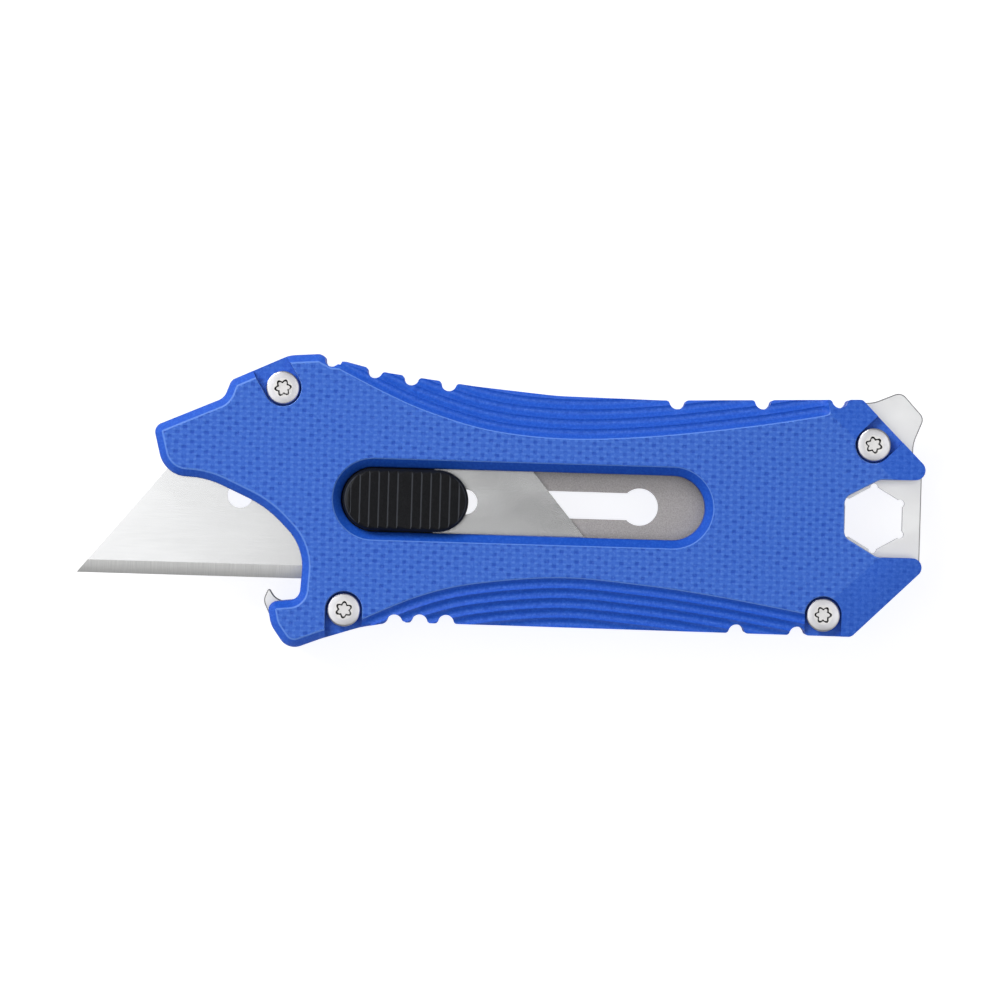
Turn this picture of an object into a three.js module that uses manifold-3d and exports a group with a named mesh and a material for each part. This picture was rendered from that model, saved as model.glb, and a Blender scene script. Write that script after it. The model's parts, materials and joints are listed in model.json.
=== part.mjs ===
// Pocket utility knife: a sliding trapezoid blade and a multi-tool plate between two laminate scales.
// Units are millimetres. +X runs from the blade tip to the rear, +Y to the spine and +Z out of the
// button side. The knife lies on its back scale: z = 0 is that scale's outer face, and x = y = 0 is
// the middle of the whole.
import * as THREE from 'three';
import { mergeVertices } from 'three/addons/utils/BufferGeometryUtils.js';
import Module from 'manifold-3d';

const wasm = await Module();
wasm.setup();

// ---------------------------------------------------------------- driving dimensions

// Layers, from the back up.
const SCALE_THICK = 4.4;
const PLATE_THICK = 2.2;
const PLATE_Z = SCALE_THICK;
const FRONT_Z = PLATE_Z + PLATE_THICK;
const FACE_Z = FRONT_Z + SCALE_THICK;
const RUNNING_GAP = 0.05;

// Blade: a standard two-ended trapezoid blade.
const BLADE_LENGTH = 61.1;
const BLADE_WIDTH = 19;
const BLADE_THICK = 0.6;
const BLADE_TIP_X = -47;
const BLADE_EDGE_Y = -9.08;
const BLADE_BACK_Y = BLADE_EDGE_Y + BLADE_WIDTH;
const BLADE_END_ANGLE = THREE.MathUtils.degToRad(50.4);
const BLADE_END_RUN = BLADE_WIDTH / Math.tan(BLADE_END_ANGLE);
const BLADE_HOLE_R = 1.4;
const BLADE_HOLE_PITCH = 12.53;
const BLADE_BEVEL = 1.45;
const BLADE_EDGE_LEFT = 0.04;
const BLADE_NOTCH_R = 1.5;
const BLADE_SIDE_GAP = 0.3;
const BLADE_Z = FRONT_Z + RUNNING_GAP;
const BLADE_TOP = BLADE_Z + BLADE_THICK;
const BLADE_MID_X = BLADE_TIP_X + BLADE_LENGTH / 2;

// Slot and travel.
const SLOT_FRONT_X = -17.66;
const SLOT_REAR_X = 22.82;
const SLOT_HALF = 3.58;
const SLOT_CHAMFER = 1.03;
const SLIDE_TRAVEL = 26.1;
const PRESS_TRAVEL = 0.9;

// Carrier: a flat sled on the blade, with a bush in its middle hole and a lug in its back notch.
const CARRIER_FRONT_X = -18.3;
const CARRIER_REAR_X = -7.4;
const CARRIER_LOW_Y = -7.8;
const CARRIER_HIGH_Y = 9.4;
const CARRIER_SIDE_GAP = 0.25;
const CARRIER_Z = BLADE_TOP + RUNNING_GAP;
const CARRIER_TOP = CARRIER_Z + 1.1;
const CARRIER_LUG_WIDTH = 1.6;
const CARRIER_LUG_DEPTH = 0.6;

// Thumb button.
const BUTTON_X = -10.5;
const BUTTON_LENGTH = 14;
const BUTTON_WIDTH = 6.9;
const BUTTON_CHAMFER = 0.45;
const BUTTON_LOW = CARRIER_TOP + PRESS_TRAVEL + 0.1;
const BUTTON_TOP = FACE_Z + 0.8;
const BUTTON_ROOF = 1.15;
const RIB_COUNT_PER_SIDE = 6;
const RIB_PITCH = 1.05;
const RIB_CENTRE_WIDTH = 1.5;
const RIB_GROOVE_WIDTH = 0.42;
const RIB_GROOVE_DEPTH = 0.35;

// Return spring under the button, round a post on the carrier.
const SPRING_R = 1.65;
const SPRING_WIRE_R = 0.15;
const SPRING_TURNS = 3.5;
const SPRING_TOP = BUTTON_TOP - BUTTON_ROOF;
const SPRING_END_GAP = 0.04;
const SPRING_POST_R = 0.9;
const SPRING_POST_H = 0.6;

// Lock: a stem from the button through the blade to a shuttle in the back scale's slot.
const STEM_R = 0.65;
const STEM_THREAD_R = 0.4;
const STEM_SHOULDER_R = 1.1;
const SHUTTLE_REAR_X = -4.6;
const SHUTTLE_WIDTH = 6.7;
const SHUTTLE_LOW = 1.9;
const SHUTTLE_TOP = 3.9;
const NUT_R = 0.78;
const NUT_LOW = SHUTTLE_LOW + 0.2;
const NUT_TOP = SHUTTLE_LOW + 0.9;

// Keyhole slot in the plate: a keyway with a round seat for the shuttle's collar at each end.
const KEYHOLE_HALF = 1.5;
const KEYHOLE_R = 2.08;
const KEYWAY_FRONT_X = BLADE_MID_X - 1.9;
const KEYWAY_REAR_X = BUTTON_X + SLIDE_TRAVEL + 1;

// Fasteners.
const HEAD_R = 1.82;
const HEAD_H = 1.05;
const HEAD_CHAMFER = 0.3;
const STAR_OUTER_R = 0.93;
const STAR_INNER_R = 0.66;
const STAR_DEPTH = 0.7;
const SHANK_R = 0.85;
const SCREW_LENGTH = 3.2;
const PILLAR_R = 1.6;
const PILLAR_BORE_R = 1;
const PILLAR_LAND = 0.65;
const POCKET_R = 2.1;
const POCKET_DEPTH = 1.5;
const POCKET_REACH = 8;
const FASTENERS = [
  { name: 'nose', x: -24.48, y: 12.09, opens: 119 },
  { name: 'belly', x: -17, y: -12.38, opens: 270 },
  { name: 'horn', x: 41.38, y: 7.67, opens: 45 },
  { name: 'heel', x: 36.3, y: -11.38, opens: 270 },
];

// Handle edge: chamfered round the nose and the front lobes, square behind.
const EDGE_CHAMFER = 0.85;
const EDGE_CHAMFER_END_X = -14;
const PLATE_INSET = 0.3;
const PLATE_NOTCH_EXTRA = 0.2;

// Grip terraces along the spine and the belly.
const TERRACE_PITCH = 1.1;
const TERRACE_DROP = 0.42;
const TERRACE_COUNT = 4;

// Flats that slope down to the two rear corners, from the line between two points.
const FACET_SLOPE = 0.22;
const FACET_REACH = 9;
const HORN_FACET = [[42.19, 5.05], [36.23, 11]];
const HEEL_FACET = [[37.95, -8.75], [42.15, -4.77]];

// Hex opening for 1/4-inch bits, with a small relief in every corner.
const HEX_X = 41.76;
const HEX_Y = -0.48;
const HEX_ACROSS_FLATS = 6.4;
const HEX_RELIEF_R = 0.32;
const HEX_RELIEF_INSET = 0.15;

// Clearance of a fixed fit, and how far a cutting tool runs past a face.
const FIT = 0.05;
const OVER = 1;
const BELOW_PLATE = PLATE_Z - OVER;
const ABOVE_PLATE = FRONT_Z + OVER;
const OUTSIDE_Y = 20;

// Fineness of the curves, and the distance at which neighbouring vertices are one.
const ARC_STEP = THREE.MathUtils.degToRad(15);
const ROUND_STEPS = 10;
const GRIP_SAMPLES = 22;
const ROUND_SIDES = 24;
const NOTCH_SIDES = 20;
const SMALL_SIDES = 16;
const RELIEF_SIDES = 12;
const WIRE_SIDES = 6;
const SPRING_STEPS_PER_TURN = 16;
const STAR_LOBES = 6;
const STAR_POINTS = 36;
const WELD_DISTANCE = 1e-4;

// Corners of the handle's outline as x, y and the radius of the round that replaces the corner.
const HANDLE_CORNERS = [
  // nose
  [-38.76, 7.4, 1],
  [-31, 10.79, 1.6],
  [-30.25, 12.79, 0.9],
  // front lobe of the spine
  [-23.9, 15.73, 4],
  [-20.45, 15.98, 0.95],
  [-19, 15.25, 0.5],
  [-17.5, 15.2, 1],
  // spine
  [-12.9, 14.1, 6],
  [-3, 12.88, 20],
  [6, 12.1, 30],
  [18, 11.95, 30],
  [40, 12.67, 0.95],
  // upper horn
  [48.72, 3.93, 1.1],
  [42.15, 3.83, 1.4],
  // notch behind the hex opening
  [38.29, 1.74, 1.15],
  [38.36, -2.63, 1.1],
  [42.08, -4.82, 1.6],
  // lower horn
  [48.62, -4.78, 1.05],
  [39.49, -13.75, 0.9],
  // belly and front lobe
  [-11.5, -13.6, 10],
  [-15.2, -14.3, 10],
  [-19.5, -15.7, 10],
  [-23.1, -17.1, 1.9],
  [-25.05, -14.35, 3],
  [-25.6, -11.75, 0.95],
  // finger hollow
  [-22, -11.4, 1.3],
  [-21.63, -5.56, 6],
  [-25.95, -1.2, 12],
  [-32.7, 1.85, 10],
  [-37.4, 1.98, 3.2],
];

// Half-round thumb notches in the handle's edge as x, y, radius.
const EDGE_NOTCHES = [
  [-19.13, 15.34, 0.75],
  [-14.31, 14.29, 0.82],
  [-10.24, 13.61, 0.82],
  [-6.05, 13.11, 0.84],
  [19.42, 11.91, 0.9],
  [28.96, 12.17, 0.9],
  [37.49, 12.56, 0.9],
  [33.49, -13.68, 0.9],
  [26.72, -13.64, 0.9],
  [-5.62, -13.52, 0.88],
  [-8.56, -13.55, 0.88],
  [-11.35, -13.63, 0.88],
];

// Inner boundaries of the two grips; the terraces step down from here to the edge.
const SPINE_GRIP = [
  [-19.9, 15.2],
  [-12.94, 11.83],
  [-7.76, 9.77],
  [-1, 8.02],
  [7.31, 7.37],
  [17.06, 7.94],
  [28.36, 9.45],
  [36.4, 10.89],
];
const BELLY_GRIP = [
  [34.3, -11.33],
  [24.36, -9.71],
  [15.83, -8.68],
  [6.92, -8.15],
  [-2.52, -9.08],
  [-8.85, -10.72],
  [-15.6, -13.7],
];

// Parts of the plate that stand out from between the scales, as x, y and corner radius.
const PRY_BAR = [
  [36, 11, 0],
  [38.5, 12.3, 0],
  [41.4, 12.42, 4],
  [44.44, 13.72, 1.1],
  [47.08, 10.85, 1],
  [45.95, 8, 4],
  [45.95, 5.2, 0],
  [40, 4.2, 0],
];
const REAR_TAB = [
  [37.5, 4.9, 0],
  [47, 4.9, 0.3],
  [47, -5.6, 0.3],
  [37.5, -5.6, 0],
];
const CUTTER_HOOK = [
  [-25.5, -10.15, 0.2],
  [-24.7, -11.45, 1.6],
  [-22.6, -11.8, 0],
  [-22.6, -14, 0],
  [-25, -14, 0],
  [-26.12, -11.6, 1.3],
];

// ---------------------------------------------------------------- outlines

// Points of a closed outline whose corners [x, y, r] are rounded by arcs.
function roundedOutline(corners) {
  const points = [];
  corners.forEach(([x, y, r], i) => {
    const corner = new THREE.Vector2(x, y);
    const [px, py] = corners.at(i - 1);
    const [nx, ny] = corners[(i + 1) % corners.length];
    const towardPrevious = new THREE.Vector2(px, py).sub(corner).normalize();
    const towardNext = new THREE.Vector2(nx, ny).sub(corner).normalize();
    const inside = Math.acos(THREE.MathUtils.clamp(towardPrevious.dot(towardNext), -1, 1));
    const reach = r / Math.tan(inside / 2);
    if (r === 0) {
      points.push(corner);
      return;
    }
    const start = corner.clone().addScaledVector(towardPrevious, reach);
    const bisector = towardPrevious.clone().add(towardNext).normalize();
    const centre = corner.clone().addScaledVector(bisector, r / Math.sin(inside / 2));
    const turn = Math.sign(towardNext.cross(towardPrevious)) * (Math.PI - inside);
    const steps = Math.max(1, Math.ceil(Math.abs(turn) / ARC_STEP));
    for (let s = 0; s <= steps; s++) {
      points.push(start.clone().rotateAround(centre, (turn * s) / steps));
    }
  });
  return points;
}

// The same corners moved inwards by a distance, for a clockwise outline.
function insetCorners(corners, distance) {
  return corners.map(([x, y, r], i) => {
    const [px, py] = corners.at(i - 1);
    const [nx, ny] = corners[(i + 1) % corners.length];
    const arriving = new THREE.Vector2(x - px, y - py).normalize();
    const leaving = new THREE.Vector2(nx - x, ny - y).normalize();
    const turn = arriving.cross(leaving);
    const miter = distance / (1 + arriving.dot(leaving));
    const inwardX = (arriving.y + leaving.y) * miter;
    const inwardY = -(arriving.x + leaving.x) * miter;
    const radius = turn < 0 ? Math.max(r - distance, 0.05) : r + distance;
    return [x + inwardX, y + inwardY, radius];
  });
}

function stadium(fromX, toX, half) {
  const shape = new THREE.Shape();
  shape.absarc(toX - half, 0, half, -Math.PI / 2, Math.PI / 2, false);
  shape.absarc(fromX + half, 0, half, Math.PI / 2, (Math.PI * 3) / 2, false);
  return shape;
}

function regularPolygon(x, y, circumradius, count, firstAngle) {
  const points = [];
  for (let i = 0; i < count; i++) {
    const angle = firstAngle + (i * 2 * Math.PI) / count;
    points.push(new THREE.Vector2(x + circumradius * Math.cos(angle), y + circumradius * Math.sin(angle)));
  }
  return points;
}

// ---------------------------------------------------------------- solids

function toSolid(geometry) {
  const bare = geometry.index ? geometry.toNonIndexed() : geometry.clone();
  bare.deleteAttribute('normal');
  bare.deleteAttribute('uv');
  const merged = mergeVertices(bare, WELD_DISTANCE);
  return new wasm.Manifold(
    new wasm.Mesh({
      numProp: 3,
      vertProperties: merged.attributes.position.array,
      triVerts: new Uint32Array(merged.index.array),
    }),
  );
}

function toGeometry(solid) {
  const mesh = solid.getMesh();
  const geometry = new THREE.BufferGeometry();
  geometry.setAttribute('position', new THREE.BufferAttribute(mesh.vertProperties, 3));
  geometry.setIndex(new THREE.BufferAttribute(mesh.triVerts, 1));
  const faceted = geometry.toNonIndexed();
  faceted.computeVertexNormals();
  return faceted;
}

// An upright prism between two heights. The outline is a Shape, or a list of points.
function prism(outline, low, high) {
  const shape = outline instanceof THREE.Shape ? outline : new THREE.Shape(outline);
  const geometry = new THREE.ExtrudeGeometry(shape, {
    depth: high - low,
    bevelEnabled: false,
    curveSegments: ROUND_STEPS,
  });
  return toSolid(geometry.translate(0, 0, low));
}

// A prism whose outline grows by `size` over the first `height`, for a countersunk edge.
function flaredPrism(shape, low, size, height, high) {
  const geometry = new THREE.ExtrudeGeometry(shape, {
    depth: high - low - height,
    bevelEnabled: true,
    bevelSegments: 1,
    bevelSize: size,
    bevelThickness: height,
    curveSegments: ROUND_STEPS,
  });
  return toSolid(geometry.translate(0, 0, low + height));
}

// A prism whose top edge is chamfered; the outline keeps its size below the chamfer.
function chamferedPrism(outline, low, high, chamfer) {
  const shape = outline instanceof THREE.Shape ? outline : new THREE.Shape(outline);
  const geometry = new THREE.ExtrudeGeometry(shape, {
    depth: high - low,
    bevelEnabled: true,
    bevelSegments: 1,
    bevelSize: chamfer,
    bevelOffset: -chamfer,
    bevelThickness: chamfer,
    curveSegments: ROUND_STEPS,
  });
  const tall = toSolid(geometry.translate(0, 0, low - chamfer));
  return tall.trimByPlane([0, 0, 1], low);
}

// A box between two x, two y and two z positions.
function slab(leftX, rightX, lowY, highY, lowZ, highZ) {
  const geometry = new THREE.BoxGeometry(rightX - leftX, highY - lowY, highZ - lowZ);
  return toSolid(geometry.translate((leftX + rightX) / 2, (lowY + highY) / 2, (lowZ + highZ) / 2));
}

function rod(x, y, radius, low, high, sides = ROUND_SIDES) {
  const geometry = new THREE.CylinderGeometry(radius, radius, high - low, sides);
  return toSolid(geometry.rotateX(Math.PI / 2).translate(x, y, (low + high) / 2));
}

function joined(first, ...others) {
  return others.reduce((whole, next) => whole.add(next), first);
}

function cut(whole, ...tools) {
  return tools.reduce((left, tool) => left.subtract(tool), whole);
}

// ---------------------------------------------------------------- scales

// Region outside a grip boundary that has been moved outwards by `offset`, up to a straight line
// well outside the handle.
function gripRegion(boundary, offset) {
  const curve = new THREE.SplineCurve(boundary.map(([x, y]) => new THREE.Vector2(x, y)));
  const farY = Math.sign(boundary[0][1]) * OUTSIDE_Y;
  const points = [];
  for (let i = 0; i <= GRIP_SAMPLES; i++) {
    const tangent = curve.getTangent(i / GRIP_SAMPLES);
    const normal = new THREE.Vector2(-tangent.y, tangent.x);
    points.push(curve.getPoint(i / GRIP_SAMPLES).addScaledVector(normal, offset));
  }
  points.push(new THREE.Vector2(points.at(-1).x, farY));
  points.push(new THREE.Vector2(points[0].x, farY));
  return points;
}

function terraces(boundary) {
  const steps = [];
  for (let i = 0; i < TERRACE_COUNT; i++) {
    const floor = SCALE_THICK - TERRACE_DROP * (i + 1);
    steps.push(prism(gripRegion(boundary, TERRACE_PITCH * i), floor, SCALE_THICK + OVER));
  }
  return steps;
}

// A sloping cut that starts on the line from `start` to `end` and falls away on the line's right-hand side.
function facetCut([start, end]) {
  const along = new THREE.Vector3(end[0] - start[0], end[1] - start[1], 0);
  const length = along.length();
  along.normalize();
  const away = new THREE.Vector3(along.y, -along.x, 0);
  const profile = new THREE.Shape([
    new THREE.Vector2(0, 0),
    new THREE.Vector2(FACET_REACH, -FACET_SLOPE * FACET_REACH),
    new THREE.Vector2(FACET_REACH, OVER),
    new THREE.Vector2(0, OVER),
  ]);
  const settings = { depth: length + 2 * FACET_REACH, bevelEnabled: false };
  const geometry = new THREE.ExtrudeGeometry(profile, settings);
  const up = new THREE.Vector3(0, 0, 1);
  const basis = new THREE.Matrix4().makeBasis(away, up, along.clone().negate());
  geometry.applyMatrix4(basis);
  geometry.translate(end[0] + along.x * FACET_REACH, end[1] + along.y * FACET_REACH, SCALE_THICK);
  return toSolid(geometry);
}

// A round screw pocket that runs out through the edge in the direction `opens`, in degrees.
function screwPocket({ x, y, opens }) {
  const floor = SCALE_THICK - POCKET_DEPTH;
  const height = POCKET_DEPTH + OVER;
  const run = new THREE.BoxGeometry(POCKET_REACH, 2 * POCKET_R, height);
  run.translate(POCKET_REACH / 2, 0, height / 2);
  run.rotateZ(THREE.MathUtils.degToRad(opens));
  run.translate(x, y, floor);
  return joined(rod(x, y, POCKET_R, floor, floor + height), toSolid(run));
}

// One scale's shell in its own frame: inner face at z = 0, outer face at z = SCALE_THICK.
function scaleShell() {
  const outline = roundedOutline(HANDLE_CORNERS);
  const squareRear = prism(outline, 0, SCALE_THICK).trimByPlane([1, 0, 0], EDGE_CHAMFER_END_X);
  const slot = stadium(SLOT_FRONT_X, SLOT_REAR_X, SLOT_HALF);
  const pillarTop = SCALE_THICK - POCKET_DEPTH - PILLAR_LAND;
  const above = SCALE_THICK + OVER;
  return cut(
    joined(chamferedPrism(outline, 0, SCALE_THICK, EDGE_CHAMFER), squareRear),
    ...terraces(SPINE_GRIP),
    ...terraces(BELLY_GRIP),
    facetCut(HORN_FACET),
    facetCut(HEEL_FACET),
    prism(slot, -OVER, above),
    flaredPrism(slot, SCALE_THICK - SLOT_CHAMFER, SLOT_CHAMFER, SLOT_CHAMFER, above + SLOT_CHAMFER),
    ...FASTENERS.map(screwPocket),
    ...FASTENERS.map(({ x, y }) => rod(x, y, PILLAR_R + FIT, -OVER, pillarTop)),
    ...FASTENERS.map(({ x, y }) => rod(x, y, PILLAR_BORE_R, -OVER, above)),
    ...EDGE_NOTCHES.map(([x, y, r]) => rod(x, y, r, -OVER, above, NOTCH_SIDES)),
  );
}

// The space that the blade sweeps, from extended to retracted, with clearance all round.
function bladeChannel() {
  const rearX = BLADE_TIP_X + BLADE_LENGTH + SLIDE_TRAVEL;
  const lowY = BLADE_EDGE_Y - BLADE_SIDE_GAP;
  const highY = BLADE_BACK_Y + BLADE_SIDE_GAP;
  const outline = [
    new THREE.Vector2(BLADE_TIP_X - 2 * BLADE_SIDE_GAP, lowY),
    new THREE.Vector2(rearX + 2 * BLADE_SIDE_GAP, lowY),
    new THREE.Vector2(rearX - BLADE_END_RUN + BLADE_SIDE_GAP, highY),
    new THREE.Vector2(BLADE_TIP_X + BLADE_END_RUN - BLADE_SIDE_GAP, highY),
  ];
  return prism(outline, -OVER, BLADE_TOP + 2 * RUNNING_GAP - FRONT_Z);
}

function carrierChannel() {
  const front = CARRIER_FRONT_X - CARRIER_SIDE_GAP;
  const rear = CARRIER_REAR_X + SLIDE_TRAVEL + CARRIER_SIDE_GAP;
  const low = CARRIER_LOW_Y - CARRIER_SIDE_GAP;
  const high = CARRIER_HIGH_Y + CARRIER_SIDE_GAP;
  return slab(front, rear, low, high, -OVER, CARRIER_TOP + 3 * RUNNING_GAP - FRONT_Z);
}

function frontScale(shell) {
  return cut(shell, bladeChannel(), carrierChannel());
}

// ---------------------------------------------------------------- tool plate

function hexOpening() {
  const circumradius = HEX_ACROSS_FLATS / 2 / Math.cos(Math.PI / 6);
  const hex = regularPolygon(HEX_X, HEX_Y, circumradius, 6, Math.PI / 2);
  const reliefs = regularPolygon(HEX_X, HEX_Y, circumradius - HEX_RELIEF_INSET, 6, Math.PI / 2);
  return joined(
    prism(hex, BELOW_PLATE, ABOVE_PLATE),
    ...reliefs.map(({ x, y }) => rod(x, y, HEX_RELIEF_R, BELOW_PLATE, ABOVE_PLATE, RELIEF_SIDES)),
  );
}

function keyhole() {
  return joined(
    prism(stadium(KEYWAY_FRONT_X, KEYWAY_REAR_X, KEYHOLE_HALF), BELOW_PLATE, ABOVE_PLATE),
    rod(BUTTON_X, 0, KEYHOLE_R, BELOW_PLATE, ABOVE_PLATE),
    rod(BUTTON_X + SLIDE_TRAVEL, 0, KEYHOLE_R, BELOW_PLATE, ABOVE_PLATE),
  );
}

function toolPlate() {
  const between = (corners) => prism(roundedOutline(corners), PLATE_Z, FRONT_Z);
  const body = between(insetCorners(HANDLE_CORNERS, PLATE_INSET));
  return cut(
    joined(body, between(PRY_BAR), between(REAR_TAB), between(CUTTER_HOOK)),
    hexOpening(),
    keyhole(),
    ...FASTENERS.map(({ x, y }) => rod(x, y, PILLAR_R + FIT, BELOW_PLATE, ABOVE_PLATE)),
    ...EDGE_NOTCHES.map(([x, y, r]) =>
      rod(x, y, r + PLATE_NOTCH_EXTRA, BELOW_PLATE, ABOVE_PLATE, NOTCH_SIDES),
    ),
  );
}

// ---------------------------------------------------------------- blade and carrier

// A wedge along the whole cutting edge that thins one side of the blade.
function edgeWedge(faceZ, side) {
  const depth = (BLADE_THICK / 2 - BLADE_EDGE_LEFT) * side;
  const profile = new THREE.Shape([
    new THREE.Vector2(BLADE_EDGE_Y - OVER, faceZ - depth),
    new THREE.Vector2(BLADE_EDGE_Y, faceZ - depth),
    new THREE.Vector2(BLADE_EDGE_Y + BLADE_BEVEL, faceZ),
    new THREE.Vector2(BLADE_EDGE_Y + BLADE_BEVEL, faceZ + OVER * side),
    new THREE.Vector2(BLADE_EDGE_Y - OVER, faceZ + OVER * side),
  ]);
  const settings = { depth: BLADE_LENGTH + 2 * OVER, bevelEnabled: false };
  const geometry = new THREE.ExtrudeGeometry(profile, settings);
  // Profile x and y become world y and z, and the extrusion runs along x.
  const axes = new THREE.Matrix4().makeBasis(
    new THREE.Vector3(0, 1, 0),
    new THREE.Vector3(0, 0, 1),
    new THREE.Vector3(1, 0, 0),
  );
  return toSolid(geometry.applyMatrix4(axes).translate(BLADE_TIP_X - OVER, 0, 0));
}

function blade() {
  const outline = [
    new THREE.Vector2(BLADE_TIP_X, BLADE_EDGE_Y),
    new THREE.Vector2(BLADE_TIP_X + BLADE_LENGTH, BLADE_EDGE_Y),
    new THREE.Vector2(BLADE_TIP_X + BLADE_LENGTH - BLADE_END_RUN, BLADE_BACK_Y),
    new THREE.Vector2(BLADE_TIP_X + BLADE_END_RUN, BLADE_BACK_Y),
  ];
  const notchPitch = BUTTON_X - BLADE_MID_X;
  const through = (x, y, r) => rod(x, y, r, BLADE_Z - OVER, BLADE_TOP + OVER);
  return cut(
    prism(outline, BLADE_Z, BLADE_TOP),
    edgeWedge(BLADE_TOP, 1),
    edgeWedge(BLADE_Z, -1),
    ...[-1, 0, 1].map((i) => through(BLADE_MID_X + i * BLADE_HOLE_PITCH, 0, BLADE_HOLE_R)),
    ...[-1, 1].map((i) => through(BLADE_MID_X + i * notchPitch, BLADE_BACK_Y, BLADE_NOTCH_R)),
  );
}

function bladeCarrier() {
  const root = CARRIER_Z + FIT;
  const lugFront = BUTTON_X - CARRIER_LUG_WIDTH / 2;
  const lugRear = BUTTON_X + CARRIER_LUG_WIDTH / 2;
  const sled = slab(CARRIER_FRONT_X, CARRIER_REAR_X, CARRIER_LOW_Y, CARRIER_HIGH_Y, CARRIER_Z, CARRIER_TOP);
  const bush = rod(BLADE_MID_X, 0, BLADE_HOLE_R - 2 * FIT, BLADE_Z, root);
  const lug = slab(lugFront, lugRear, CARRIER_HIGH_Y - CARRIER_LUG_DEPTH, CARRIER_HIGH_Y, BLADE_Z, root);
  const post = rod(BUTTON_X, 0, SPRING_POST_R, CARRIER_TOP - FIT, CARRIER_TOP + SPRING_POST_H, SMALL_SIDES);
  const stemBore = rod(BLADE_MID_X, 0, STEM_R + FIT, BLADE_Z - OVER, CARRIER_TOP + OVER);
  return cut(joined(sled, bush, lug, post), stemBore);
}

// ---------------------------------------------------------------- button, spring and lock

function ribGrooves() {
  const grooves = [];
  const reachY = BUTTON_WIDTH / 2 + OVER;
  for (let i = 0; i < RIB_COUNT_PER_SIDE; i++) {
    const offset = RIB_CENTRE_WIDTH / 2 + RIB_GROOVE_WIDTH / 2 + i * RIB_PITCH;
    for (const side of [-1, 1]) {
      const x = BUTTON_X + side * offset;
      const left = x - RIB_GROOVE_WIDTH / 2;
      const right = x + RIB_GROOVE_WIDTH / 2;
      grooves.push(slab(left, right, -reachY, reachY, BUTTON_TOP - RIB_GROOVE_DEPTH, BUTTON_TOP + OVER));
    }
  }
  return grooves;
}

function thumbButton() {
  const half = BUTTON_LENGTH / 2;
  const outline = stadium(BUTTON_X - half, BUTTON_X + half, BUTTON_WIDTH / 2);
  const springRoom = SPRING_R + 2 * SPRING_WIRE_R;
  return cut(
    chamferedPrism(outline, BUTTON_LOW, BUTTON_TOP, BUTTON_CHAMFER),
    ...ribGrooves(),
    rod(BUTTON_X, 0, springRoom, BUTTON_LOW - OVER, SPRING_TOP),
    rod(BLADE_MID_X, 0, STEM_R + FIT / 2, BUTTON_LOW - OVER, SPRING_TOP, SMALL_SIDES),
  );
}

class Helix extends THREE.Curve {
  constructor(x, y, radius, low, high, turns) {
    super();
    Object.assign(this, { x, y, radius, low, high, turns });
  }

  getPoint(t, target = new THREE.Vector3()) {
    const angle = t * this.turns * 2 * Math.PI;
    const z = THREE.MathUtils.lerp(this.low, this.high, t);
    return target.set(this.x + this.radius * Math.cos(angle), this.y + this.radius * Math.sin(angle), z);
  }
}

function returnSpring() {
  const clear = SPRING_WIRE_R + SPRING_END_GAP;
  const path = new Helix(BUTTON_X, 0, SPRING_R, CARRIER_TOP + clear, SPRING_TOP - clear, SPRING_TURNS);
  const section = new THREE.Shape(regularPolygon(0, 0, SPRING_WIRE_R, WIRE_SIDES, 0));
  const steps = SPRING_STEPS_PER_TURN * SPRING_TURNS;
  return toSolid(new THREE.ExtrudeGeometry(section, { steps, extrudePath: path, bevelEnabled: false }));
}

// A solid of revolution about an upright axis; the profile is [radius, z] pairs from bottom to top.
function turned(x, y, profile, sides = ROUND_SIDES) {
  const points = profile.map(([r, z]) => new THREE.Vector2(r, z));
  const geometry = new THREE.LatheGeometry(points, sides);
  return toSolid(geometry.rotateX(Math.PI / 2).translate(x, y, 0));
}

function lockShuttle() {
  const outline = stadium(BUTTON_X - BUTTON_LENGTH / 2, SHUTTLE_REAR_X, SHUTTLE_WIDTH / 2);
  const collar = rod(BUTTON_X, 0, KEYHOLE_R - 2 * FIT, SHUTTLE_TOP - FIT, PLATE_Z - RUNNING_GAP);
  return cut(
    joined(prism(outline, SHUTTLE_LOW, SHUTTLE_TOP), collar),
    rod(BLADE_MID_X, 0, STEM_THREAD_R + FIT, SHUTTLE_LOW - OVER, SHUTTLE_TOP + OVER, SMALL_SIDES),
    rod(BLADE_MID_X, 0, NUT_R + FIT, SHUTTLE_LOW - OVER, NUT_TOP + FIT, SMALL_SIDES),
  );
}

function lockStem() {
  const low = NUT_LOW - 2 * FIT;
  const shoulderLow = SHUTTLE_TOP + FIT;
  const top = SPRING_TOP - FIT;
  const profile = [
    [0, low],
    [STEM_THREAD_R, low],
    [STEM_THREAD_R, shoulderLow],
    [STEM_SHOULDER_R, shoulderLow],
    [STEM_SHOULDER_R, FRONT_Z],
    [STEM_R, FRONT_Z],
    [STEM_R, top],
    [0, top],
  ];
  return turned(BLADE_MID_X, 0, profile, SMALL_SIDES);
}

function stemNut() {
  const bore = rod(BLADE_MID_X, 0, STEM_THREAD_R + FIT / 2, NUT_LOW - OVER, NUT_TOP + OVER, SMALL_SIDES);
  return cut(rod(BLADE_MID_X, 0, NUT_R, NUT_LOW, NUT_TOP, SMALL_SIDES), bore);
}

// ---------------------------------------------------------------- fasteners

// Six-lobed recess outline, as a radius that waves between its lobes.
function starOutline(outerR, innerR) {
  const points = [];
  for (let i = 0; i < STAR_POINTS; i++) {
    const angle = (i * 2 * Math.PI) / STAR_POINTS;
    const radius = (outerR + innerR) / 2 + ((outerR - innerR) / 2) * Math.cos(STAR_LOBES * angle);
    points.push(new THREE.Vector2(radius * Math.cos(angle), radius * Math.sin(angle)));
  }
  return points;
}

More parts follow.
